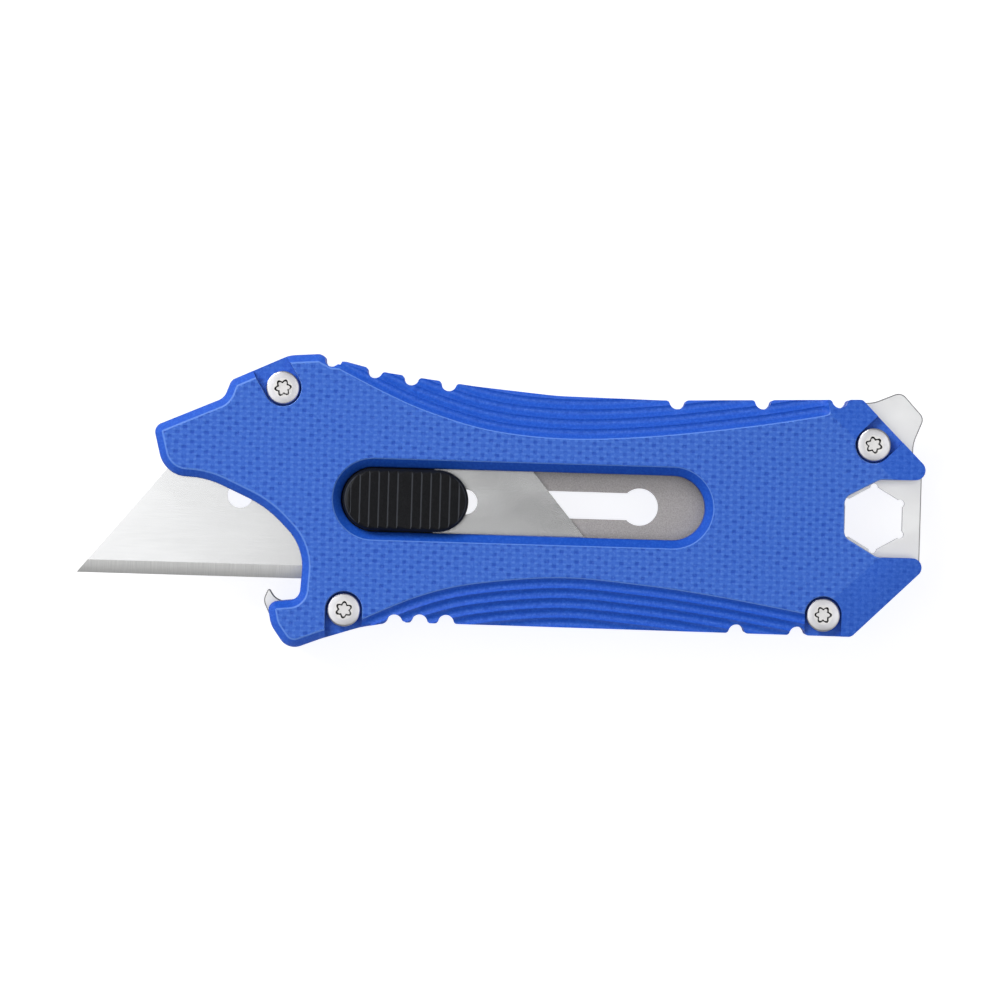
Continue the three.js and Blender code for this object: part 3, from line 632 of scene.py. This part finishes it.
# Screw pocket: its half width and the depth of each level, from the floor up.
POCKET_DEPTH = 1.5
POCKET_RUN = 12
POCKET_LEVELS = [(2.02, POCKET_DEPTH), (2.04, 0.3), (2.07, 0.1), (2.14, 0), (2.3, -OVER)]

# Edges of a scale, as an inset or growth of the outline and a depth below the face.
CHAMFERED_EDGE = [(0, SCALE_THICK), (0, 1.05), (0.03, 0.9), (0.12, 0.76), (0.72, 0.16), (0.86, 0.05),
                  (1.02, 0)]
SQUARE_EDGE = [(0, SCALE_THICK), (0, 0.15), (0.05, 0.05), (0.15, 0)]
SLOT_MOUTH = [(0, SCALE_THICK + OVER), (0, 1.35), (0.04, 1.15), (0.14, 1.0), (0.8, 0.26), (0.92, 0.1),
              (1.05, 0), (1.2, -OVER)]

# Room round the moving parts.
BLADE_SIDE_GAP, CARRIER_SIDE_GAP = 0.3, 0.25
RUNNING_GAP, ROOF_GAP = 0.05, 0.15
SLED_THICK = 1.1


def grip_profile():
    """Distance from the boundary and depth below the face: a slope of round scoops with sharp crests."""
    profile = [(-GRIP_LIP, -0.01)]
    for k in range(GROOVE_COUNT):
        for s in range(GROOVE_STEPS):
            u = s / GROOVE_STEPS
            d = (k + u) * GROOVE_PITCH
            scoop = GROOVE_DEPTH * (1 - (2 * u - 1) ** 2)
            profile.append((d, GRIP_LIP_DEPTH + GRIP_SLOPE * d + scoop))
    return profile


def below_face(levels):
    """Levels given as depths, as heights above the scale's inner face."""
    return [(size, SCALE_THICK - depth) for size, depth in levels]


def spline(points, t):
    """A smooth curve through the points, as in the CAD; t runs from 0 to 1."""
    place = (len(points) - 1) * t
    i = min(int(place), len(points) - 2)
    w = place - i
    p0, p1 = points[max(i - 1, 0)], points[i]
    p2, p3 = points[i + 1], points[min(i + 2, len(points) - 1)]

    def axis(a, b, c, d):
        v0, v1 = (c - a) / 2, (d - b) / 2
        return (2 * b - 2 * c + v0 + v1) * w**3 + (-3 * b + 3 * c - 2 * v0 - v1) * w**2 + v0 * w + b

    return Vector((axis(p0[0], p1[0], p2[0], p3[0]), axis(p0[1], p1[1], p2[1], p3[1])))


def grip_cutter(name, boundary, fades=False):
    """Sweeps the scoops along a grip's boundary. The last end rises out of the face if it fades."""
    profile = grip_profile()
    reach = GROOVE_COUNT * GROOVE_PITCH
    end = spline(boundary, 1.0)
    rings = []
    for k in range(GRIP_SAMPLES + 1):
        t = k / GRIP_SAMPLES
        place = spline(boundary, t)
        ahead = spline(boundary, min(t + TANGENT_STEP, 1)) - spline(boundary, max(t - TANGENT_STEP, 0))
        ahead.normalize()
        outward = Vector((-ahead.y, ahead.x))
        lift = max(0.0, 1 - (end - place).length / GRIP_FADE) ** 2 if fades else 0.0
        section = [(d, SCALE_THICK - depth * (1 - lift) + 0.06 * lift) for d, depth in profile]
        section += [(reach, SCALE_THICK + 2), (-GRIP_LIP, SCALE_THICK + 2)]
        rings.append([standing(place + outward * d, z) for d, z in section])
    return loft(name, rings)


def facet_cutter(name, line):
    """A wedge that falls away on the right-hand side of a line between two points."""
    start, end = points_2d(*line)
    ahead = (end - start).normalized()
    away = Vector((ahead.y, -ahead.x))
    section = [(0, 0.01), (FACET_REACH, -FACET_SLOPE * FACET_REACH), (FACET_REACH, 3), (0, 3)]
    rings = []
    for origin in (start - ahead * FACET_RUN_OUT, end + ahead * FACET_RUN_OUT):
        rings.append([standing(origin + away * d, SCALE_THICK + rise) for d, rise in section])
    return loft(name, rings)


def pocket_cutter(name, x, y, opens):
    """A screw pocket that runs out through the edge, with a soft lip."""
    turn = Matrix.Rotation(math.radians(opens), 2)

    def outline(half):
        return [turn @ p + Vector((x, y)) for p in stadium(-half, POCKET_RUN, half)]

    return layered(name, outline, below_face(POCKET_LEVELS))


def notch_outline(x, y, radius):
    """A half-round notch with rounded shoulders, laid on the nearest stretch of the handle's edge."""
    centre = Vector((x, y))
    edge = rounded(HANDLE_CORNERS)
    best = None
    for a, b in zip(edge, edge[1:] + edge[:1]):
        if (b - a).length < 1e-6:
            continue
        along = (b - a).normalized()
        reach = max(0.0, min((centre - a).dot(along), (b - a).length))
        foot = a + along * reach
        if best is None or (foot - centre).length < best[0]:
            best = ((foot - centre).length, foot, along)
    _, foot, along = best
    outward = Vector((-along.y, along.x))
    level = (foot - centre).dot(outward)
    shoulder_x = math.sqrt((radius + SHOULDER_R) ** 2 - (level - SHOULDER_R) ** 2)
    meet = math.atan2(level - SHOULDER_R, shoulder_x)
    right = []
    for k in range(13):
        angle = -math.pi / 2 + (meet + math.pi / 2) * k / 12
        right.append((radius * math.cos(angle), radius * math.sin(angle)))
    for k in range(9):
        angle = math.pi + meet + (math.pi / 2 - math.pi - meet) * k / 8
        rise = level - SHOULDER_R + SHOULDER_R * math.sin(angle)
        right.append((shoulder_x + SHOULDER_R * math.cos(angle), rise))
    right.append((shoulder_x + 0.05, level + 3))
    local = right + [(-u, v) for u, v in reversed(right)][:-1]
    return [centre + along * u + outward * v for u, v in local]


def handle_outline(distance):
    return rounded(inset(HANDLE_CORNERS, distance))


def slot_outline(growth):
    return stadium(SLOT_FRONT_X - growth, SLOT_REAR_X + growth, SLOT_HALF + growth)


def scale_shell():
    """One scale in its own frame: inner face at z = 0, outer face at z = SCALE_THICK."""
    above = SCALE_THICK + OVER
    seat_top = SCALE_THICK - POCKET_DEPTH - PILLAR_LAND
    body = layered("shell", handle_outline, below_face(CHAMFERED_EDGE))
    square = layered("square", handle_outline, below_face(SQUARE_EDGE))
    boolean(square, [column("rear", rectangle(REAR_START_X, -30, 70, 30), -OVER, above)], "INTERSECT")
    boolean(body, [square], "UNION")
    tools = [
        grip_cutter("spine_grip", SPINE_GRIP, fades=True),
        grip_cutter("belly_grip", BELLY_GRIP),
        facet_cutter("horn_facet", HORN_FACET),
        facet_cutter("heel_facet", HEEL_FACET),
        layered("mouth", slot_outline, below_face(SLOT_MOUTH)),
    ]
    for name, opens in FASTENERS.items():
        x, y = fastener_place(name)
        tools.append(pocket_cutter("pocket", x, y, opens))
        tools.append(column("bore", circle(x, y, BORE_R), -OVER, above))
        tools.append(column("seat", circle(x, y, PILLAR_SEAT_R), -OVER, seat_top))
    tools += [column("notch", notch_outline(*place), -OVER, above) for place in EDGE_NOTCHES]
    return boolean(body, tools)


BLADE_END_ANGLE = math.radians(50.4)


def blade_outline(grow=0.0, travel=0.0):
    """The blade's trapezoid, grown sideways and stretched by a travel."""
    low_y, high_y = BLADE_LOW.y - grow, BLADE_HIGH.y + grow
    run = (BLADE_HIGH.y - BLADE_LOW.y) / math.tan(BLADE_END_ANGLE)
    front, rear = BLADE_LOW.x, BLADE_HIGH.x + travel
    return points_2d(
        (front - 2 * grow, low_y),
        (rear + 2 * grow, low_y),
        (rear - run + grow, high_y),
        (front + run - grow, high_y),
    )


def add_scales():
    """Two mirrored shells; the front one also has channels for the blade and its carrier."""
    shell = scale_shell()
    back = duplicate(shell, "scale_back")
    back.data.transform(Matrix.Diagonal((1, 1, -1, 1)))
    back.data.flip_normals()
    back.data.transform(Matrix.Translation((0, 0, PLATE_Z * MM)))
    shell.name = "scale_front"
    gap = CARRIER_SIDE_GAP
    low, high = CARRIER_LOW, CARRIER_HIGH
    sled = rectangle(low.x - gap, low.y - gap, high.x + TRAVEL + gap, high.y + gap)
    sled_top = BLADE_HIGH.z + RUNNING_GAP + SLED_THICK + ROOF_GAP - FRONT_Z
    boolean(shell, [
        column("channel", blade_outline(BLADE_SIDE_GAP, TRAVEL), -OVER, BLADE_HIGH.z + ROOF_GAP - FRONT_Z),
        column("sled", sled, -OVER, sled_top),
    ])
    shell.data.transform(Matrix.Translation((0, 0, FRONT_Z * MM)))
    for piece, node in ((shell, "front_scale"), (back, "back_scale")):
        soften(piece, 0.05, 1)
        finish_piece(piece, LAMINATE, "handle", "laminate", node)


add_scales()


# ---------------------------------------------------------------- tool plate

HEX_X, HEX_Y, HEX_ACROSS = 41.76, -0.48, 6.4
HEX_FLARE = [(0.36, PLATE_Z - OVER), (0, PLATE_Z + 0.14), (0, FRONT_Z - 0.14), (0.36, FRONT_Z + OVER)]
HEX_RELIEF_R = 0.45
KEYWAY_HALF, KEY_END_R = 1.5, 2.08
KEYWAY_FRONT, KEYWAY_REAR = 1.9, 1  # how far the keyway runs past the stem and past its rear end
PLATE_INSET, PLATE_NOTCH_EXTRA = 0.3, 0.2

# Corners of the parts that stand out of the scales, as x, y and radius.
PRY_BAR = [
    (36, 11, 0), (38.5, 12.3, 0), (41.4, 12.42, 4), (44.44, 13.72, 1.1),
    (47.08, 10.85, 1), (45.95, 8, 4), (45.95, 5.2, 0), (40, 4.2, 0),
]
REAR_TAB = [(37.5, 4.9, 0), (47, 4.9, 0.3), (47, -5.6, 0.3), (37.5, -5.6, 0)]
CUTTER_HOOK = [
    (-25.5, -10.15, 0.2), (-24.7, -11.45, 1.6), (-22.6, -11.8, 0),
    (-22.6, -14, 0), (-25, -14, 0), (-26.12, -11.6, 1.3),
]


def plate_part(name, corners, bevel=0.12):
    """A slab as thick as the plate, with a bevel round both faces."""
    levels = [(bevel, PLATE_Z), (0, PLATE_Z + bevel), (0, FRONT_Z - bevel), (bevel, FRONT_Z)]
    return layered(name, lambda distance: rounded(inset(corners, distance)), levels)


def hexagon(across_flats):
    radius = across_flats / 2 / math.cos(math.pi / 6)
    turns = [math.pi / 2 + i * math.pi / 3 for i in range(6)]
    return [Vector((HEX_X + radius * math.cos(a), HEX_Y + radius * math.sin(a))) for a in turns]


def add_plate():
    low, high = PLATE_Z - OVER, FRONT_Z + OVER
    rear_x = BUTTON_X + TRAVEL
    plate = plate_part("plate", inset(HANDLE_CORNERS, PLATE_INSET), 0.02)
    outside = [("pry_bar", PRY_BAR), ("tab", REAR_TAB), ("hook", CUTTER_HOOK)]
    boolean(plate, [plate_part(name, corners) for name, corners in outside], "UNION")
    cuts = [layered("hex", lambda growth: hexagon(HEX_ACROSS + growth), HEX_FLARE)]
    for corner in hexagon(HEX_ACROSS - HEX_RELIEF_R):
        cuts.append(column("relief", circle(corner.x, corner.y, HEX_RELIEF_R, 24), low, high))
    keyway = stadium(STEM_X - KEYWAY_FRONT, rear_x + KEYWAY_REAR, KEYWAY_HALF)
    cuts.append(column("keyway", keyway, low, high))
    cuts += [column("key_end", circle(x, 0, KEY_END_R, 64), low, high) for x in (BUTTON_X, rear_x)]
    cuts += [column("bore", circle(*fastener_place(n), PILLAR_SEAT_R), low, high) for n in FASTENERS]
    cuts += [column("notch", circle(x, y, r + PLATE_NOTCH_EXTRA), low, high) for x, y, r in EDGE_NOTCHES]
    soften(boolean(plate, cuts), 0.1, 2)
    finish_piece(plate, PLATE_STEEL, "handle", "plate_steel", "tool_plate")


add_plate()


# ---------------------------------------------------------------- blade

EDGE_HALF_THICK = 0.02
BLADE_HOLE_R, BLADE_HOLE_PITCH = 1.4, 12.53
BLADE_NOTCH_R = 1.5


def add_blade():
    """A trapezoid strip with both faces ground to the edge, three holes and two notches."""
    middle = (BLADE_LOW.z + BLADE_HIGH.z) / 2
    half = (BLADE_HIGH.z - BLADE_LOW.z) / 2
    edge_y, back_y = BLADE_LOW.y, BLADE_HIGH.y
    above = BLADE_HIGH.z + OVER
    section = [(edge_y, EDGE_HALF_THICK), (edge_y + BEVEL_WIDTH, half), (back_y - 0.05, half),
               (back_y, half - 0.05)]
    ring = [(y, middle + z) for y, z in section] + [(y, middle - z) for y, z in reversed(section)]
    ends = (BLADE_LOW.x - OVER, BLADE_HIGH.x + OVER)
    blade = loft("blade_strip", [[Vector((x, y, z)) for y, z in ring] for x in ends])
    boolean(blade, [column("trapezoid", blade_outline(), 0, above)], "INTERSECT")
    holes = [(BLADE_MID_X + i * BLADE_HOLE_PITCH, 0, BLADE_HOLE_R, 64) for i in (-1, 0, 1)]
    holes += [(BLADE_MID_X + i * (BUTTON_X - BLADE_MID_X), back_y, BLADE_NOTCH_R) for i in (-1, 1)]
    cuts = [column("hole", circle(*hole), 0, above) for hole in holes]
    soften(boolean(blade, cuts), 0.02, 1, 40)
    finish_piece(blade, BLADE_STEEL, "carriage", "blade_steel", "blade")


add_blade()


# ---------------------------------------------------------------- button and shuttle

RIB_PITCH = 1.05
CENTRE_RIB = 1.58
RIB_RISER = 0.17
RIB_DROP = 0.24
RIBS_PER_SIDE = 6
BUTTON_ROOF = 1.15
SPRING_ROOM_R, BUTTON_STEM_R = 2.05, 0.68

# Outline inset against height above the button's underside or, for the crown, depth below its top.
BUTTON_FOOT = [(0.12, 0), (0, 0.12)]
BUTTON_CROWN = [(0, 0.95), (0.03, 0.7), (0.14, 0.4), (0.32, 0.17), (0.55, 0.04), (0.8, 0)]

COLLAR_HEIGHT = 0.45
COLLAR_R = 1.98
SHUTTLE_STEM_R, NUT_SEAT_R, NUT_SEAT_DEPTH = 0.45, 0.83, 0.92
SHUTTLE_RIB_PLACES = (-3.2, -1.6, 0, 1.6, 3.2)
SHUTTLE_RIB_HALF, SHUTTLE_RIB_DEPTH = 0.22, 0.3


def rib_cutter():
    """Steps across the button: each rib falls towards the rear and the next one rises by a short riser."""
    top = BUTTON_HIGH.z
    crests = []
    for k in range(RIBS_PER_SIDE):
        offset = CENTRE_RIB / 2 + k * RIB_PITCH
        crests += [BUTTON_X - offset, BUTTON_X + offset]
    crests.sort()
    profile = [(crests[0] - RIB_RISER, top + 0.01)]
    for x in crests:
        profile += [(x - RIB_RISER, top - RIB_DROP), (x, top - 0.02)]
    profile += [(crests[-1] + RIB_PITCH - RIB_RISER, top - RIB_DROP), (crests[-1] + RIB_PITCH, top + 0.01)]
    profile += [(BUTTON_X + 8, top + 2), (BUTTON_X - 8, top + 2)]
    return loft("ribs", [[Vector((x, y, z)) for x, z in profile] for y in (-6, 6)])


def stadium_in(low, high):
    """Outlines inside a box from low to high, for a given inset."""
    half = (high.y - low.y) / 2
    return lambda distance: stadium(low.x + distance, high.x - distance, half - distance, 40)


def add_button():
    low, high = BUTTON_LOW.z, BUTTON_HIGH.z
    levels = [(d, low + up) for d, up in BUTTON_FOOT] + [(d, high - down) for d, down in BUTTON_CROWN]
    button = layered("button_body", stadium_in(BUTTON_LOW, BUTTON_HIGH), levels)
    pocket = column("spring_pocket", circle(BUTTON_X, 0, SPRING_ROOM_R), low - OVER, high - BUTTON_ROOF)
    bore = column("stem_bore", circle(STEM_X, 0, BUTTON_STEM_R, 24), low - OVER, high - BUTTON_ROOF)
    soften(boolean(button, [rib_cutter(), pocket, bore]), 0.05, 2, 28)
    finish_piece(button, BLACK, "button", "button_plastic", "thumb_button")


def add_shuttle():
    """The lock block with its collar, and ribs on the side that shows at the back."""
    low, high = SHUTTLE_LOW.z, SHUTTLE_HIGH.z
    slab_top = high - COLLAR_HEIGHT
    levels = [(0.25, low), (0.07, low + 0.07), (0, low + 0.25), (0, slab_top - 0.1), (0.1, slab_top)]
    shuttle = layered("shuttle", stadium_in(SHUTTLE_LOW, SHUTTLE_HIGH), levels)
    collar = [(COLLAR_R, slab_top - 0.2), (COLLAR_R, high - 0.1), (COLLAR_R - 0.1, high)]
    boolean(shuttle, [layered("collar", lambda r: circle(BUTTON_X, 0, r), collar)], "UNION")
    cuts = [
        column("stem_bore", circle(STEM_X, 0, SHUTTLE_STEM_R, 24), low - OVER, high + OVER),
        column("nut_seat", circle(STEM_X, 0, NUT_SEAT_R, 32), low - OVER, low + NUT_SEAT_DEPTH),
    ]
    for offset in SHUTTLE_RIB_PLACES:
        x = BUTTON_X + offset
        groove = rectangle(x - SHUTTLE_RIB_HALF, -5, x + SHUTTLE_RIB_HALF, 5)
        cuts.append(column("rib", groove, low - OVER, low + SHUTTLE_RIB_DEPTH))
    soften(boolean(shuttle, cuts), 0.05, 2)
    finish_piece(shuttle, PLATE_STEEL, "button", "plate_steel", "lock_shuttle")


add_button()
add_shuttle()


# ---------------------------------------------------------------- screws

SHANK_R, THREAD_ROOT_R = 0.85, 0.78
THREAD_PITCH, THREAD_COUNT, THREAD_START = 0.3, 9, -2.9
HEAD_HEIGHT = 1.05
RIM_R = 1.08  # radius at which the head's flat middle meets its sloping rim

# Radius and height of each level of the screw's tip and head.
SCREW_TIP = [(0.01, -3.2), (0.7, -3.2), (SHANK_R, -3.05)]
SCREW_HEAD = [
    (SHANK_R, 0), (1.76, 0), (1.86, 0.1), (1.86, 0.86), (1.84, 0.95), (1.77, 1.0), (1.66, 1.02),
    (RIM_R, HEAD_HEIGHT), (0.01, HEAD_HEIGHT),
]

# Outer radius, inner radius and height of each level of the star recess.
RECESS_LEVELS = [(0.76, 0.49, 0.5), (0.95, 0.67, 1.02), (0.98, 0.7, HEAD_HEIGHT), (1.2, 0.92, 2)]
SCREW_TURNS = (9, 17)  # degrees to which the first screw is turned, and by which each next one is


def star(radius_out, radius_in, z, steps=72):
    """A six-lobed outline with round lobes and valleys."""
    points = []
    for i in range(steps):
        a = 2 * math.pi * i / steps
        wave = 0.5 + 0.5 * math.cos(6 * a)
        r = radius_in + (radius_out - radius_in) * wave**0.8
        points.append(Vector((r * math.cos(a), r * math.sin(a), z)))
    return points


def screw_mesh():
    """A low round head with a six-lobed recess; the head's underside is at z = 0."""
    profile = list(SCREW_TIP)
    for k in range(THREAD_COUNT):
        z = THREAD_START + k * THREAD_PITCH
        profile += [(SHANK_R, z), (THREAD_ROOT_R, z + 0.1), (SHANK_R, z + 0.2)]
    body = layered("screw", lambda r: circle(0, 0, r, 64), profile + SCREW_HEAD)
    boolean(body, [loft("recess", [star(*level) for level in RECESS_LEVELS])])
    body.data.materials.clear()
    for material in (TURNED_STEEL, SHADED_RECESS_STEEL, SHADED_RIM_STEEL):
        body.data.materials.append(material)
    for face in body.data.polygons:
        centre = face.center / MM
        radius = math.hypot(centre.x, centre.y)
        # The recess walls take the near-black steel, a painted shade.
        if centre.z > 0.4 and radius < RIM_R and abs(face.normal.z) < 0.9:
            face.material_index = 1
        # The head's sloping rim takes the darker rim steel, a painted shade.
        elif centre.z > 0.1 and radius > RIM_R:
            face.material_index = 2
    return soften(body, 0, angle=35)


def add_screws():
    """Eight copies of one screw, each turned to its own angle; the back ones are upside down."""
    pattern = screw_mesh()
    first_turn, next_turn = SCREW_TURNS
    for k, name in enumerate(FASTENERS):
        x, y = fastener_place(name)
        spin = Matrix.Rotation(math.radians(next_turn * k + first_turn), 4, "Z")
        for side in ("front", "back"):
            low, high = box_mm(f"screw_{side}_{name}")
            screw = duplicate(pattern, f"star_screw_{side}_{name}")
            if side == "front":
                place = Matrix.Translation(Vector((x, y, high.z - HEAD_HEIGHT)) * MM) @ spin
            else:
                flip = Matrix.Rotation(math.pi, 4, "X")
                place = Matrix.Translation(Vector((x, y, low.z + HEAD_HEIGHT)) * MM) @ flip @ spin
            screw.data.transform(place)
            finish_piece(screw, None, "handle", "fastener_steel", f"screw_{side}_{name}")
    bpy.data.objects.remove(pattern)


add_screws()


# ---------------------------------------------------------------- return spring

SPRING_LOW, SPRING_HIGH = box_mm("return_spring")
SPRING_TURNS, SPRING_STEPS_PER_TURN = 3.5, 28
WIRE_R = 0.15


def add_spring():
    """A coil spring, swept as a wire round a helix and carried with the carriage."""
    coil_r = (SPRING_HIGH.x - SPRING_LOW.x) / 2 - WIRE_R
    height = SPRING_HIGH.z - SPRING_LOW.z
    steps = round(SPRING_STEPS_PER_TURN * SPRING_TURNS)
    rings = []
    for k in range(steps + 1):
        angle = 2 * math.pi * SPRING_TURNS * k / steps
        outward = Vector((math.cos(angle), math.sin(angle), 0))
        middle = Vector((BUTTON_X, 0, SPRING_LOW.z + WIRE_R + (height - 2 * WIRE_R) * k / steps))
        middle += outward * coil_r
        rings.append([middle + outward * p.x + Vector((0, 0, p.y)) for p in circle(0, 0, WIRE_R, 10)])
    spring = loft("coil_spring", rings)
    spring.data.shade_smooth()
    finish_piece(spring, TURNED_STEEL, "carriage", "fastener_steel", "return_spring")
    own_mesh(spring)


add_spring()


# ---------------------------------------------------------------- pieces that stay as the CAD made them

def dress(node, material):
    """Gives a CAD node a material."""
    mesh = frame["nodes"][node].data
    mesh.materials.clear()
    mesh.materials.append(material)


for pillar in FASTENERS:
    dress(f"pillar_{pillar}", TURNED_STEEL)
for node in ("lock_stem", "stem_nut"):
    dress(node, TURNED_STEEL)
dress("blade_carrier", ACETAL)
